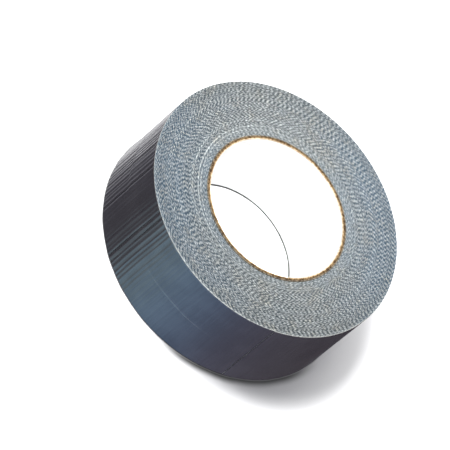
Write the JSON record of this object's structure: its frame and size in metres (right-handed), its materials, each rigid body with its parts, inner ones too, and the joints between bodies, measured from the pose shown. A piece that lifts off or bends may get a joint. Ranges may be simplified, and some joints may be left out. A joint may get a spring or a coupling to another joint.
{
  "type": "duct tape roll",
  "caption": "Cloth-backed adhesive tape wound on a round board core, with a free outer end that peels back from the roll.",
  "frame": {"origin": "on the roll's axis in the plane of the core's lower end, on which the roll lies flat", "axes": "+Z along the roll's axis, up out of the face that the picture shows; the camera of the picture stands towards -Y"},
  "size_m": [0.1405, 0.1403, 0.0506],
  "materials": {
    "core_liner": "matte",
    "core_board": "matte",
    "core_kraft": "matte",
    "wound_tape": "matte",
    "film": "satin",
    "scrim": "matte",
    "adhesive": "satin"
  },
  "bodies": {
    "roll": {"core_inner_liner": "core_liner", "core_board_ply_inner": "core_board", "core_board_ply_outer": "core_board", "core_outer_ply": "core_kraft", "wound_tape": "wound_tape", "outer_turn_film": "film", "outer_turn_scrim": "scrim", "outer_turn_adhesive": "adhesive"},
    "tape_end_1": {"tape_end_1_film": "film", "tape_end_1_scrim": "scrim", "tape_end_1_adhesive": "adhesive"},
    "tape_end_2": {"tape_end_2_film": "film", "tape_end_2_scrim": "scrim", "tape_end_2_adhesive": "adhesive"},
    "tape_end_3": {"tape_end_3_film": "film", "tape_end_3_scrim": "scrim", "tape_end_3_adhesive": "adhesive"},
    "tape_end_4": {"tape_end_4_film": "film", "tape_end_4_scrim": "scrim", "tape_end_4_adhesive": "adhesive"},
    "tape_end_5": {"tape_end_5_film": "film", "tape_end_5_scrim": "scrim", "tape_end_5_adhesive": "adhesive"}
  },
  "joints": [
    {"name": "peel_1", "type": "hinge", "parent": "roll", "child": "tape_end_1", "pos_m": [0.06996, -0.00687, 0.0253], "axis": [0, 0, 1], "range_deg": [0, 24]},
    {"name": "peel_2", "type": "hinge", "parent": "tape_end_1", "child": "tape_end_2", "pos_m": [0.06805, -0.01769, 0.0253], "axis": [0, 0, 1], "range_deg": [0, 24]},
    {"name": "peel_3", "type": "hinge", "parent": "tape_end_2", "child": "tape_end_3", "pos_m": [0.06446, -0.02807, 0.0253], "axis": [0, 0, 1], "range_deg": [0, 24]},
    {"name": "peel_4", "type": "hinge", "parent": "tape_end_3", "child": "tape_end_4", "pos_m": [0.05931, -0.03778, 0.0253], "axis": [0, 0, 1], "range_deg": [0, 24]},
    {"name": "peel_5", "type": "hinge", "parent": "tape_end_4", "child": "tape_end_5", "pos_m": [0.0527, -0.04656, 0.0253], "axis": [0, 0, 1], "range_deg": [0, 24]}
  ],
  "couplings": [
    {"joint": "peel_2", "follows": "peel_1", "ratio": 1},
    {"joint": "peel_3", "follows": "peel_1", "ratio": 1},
    {"joint": "peel_4", "follows": "peel_1", "ratio": 1},
    {"joint": "peel_5", "follows": "peel_1", "ratio": 1}
  ]
}
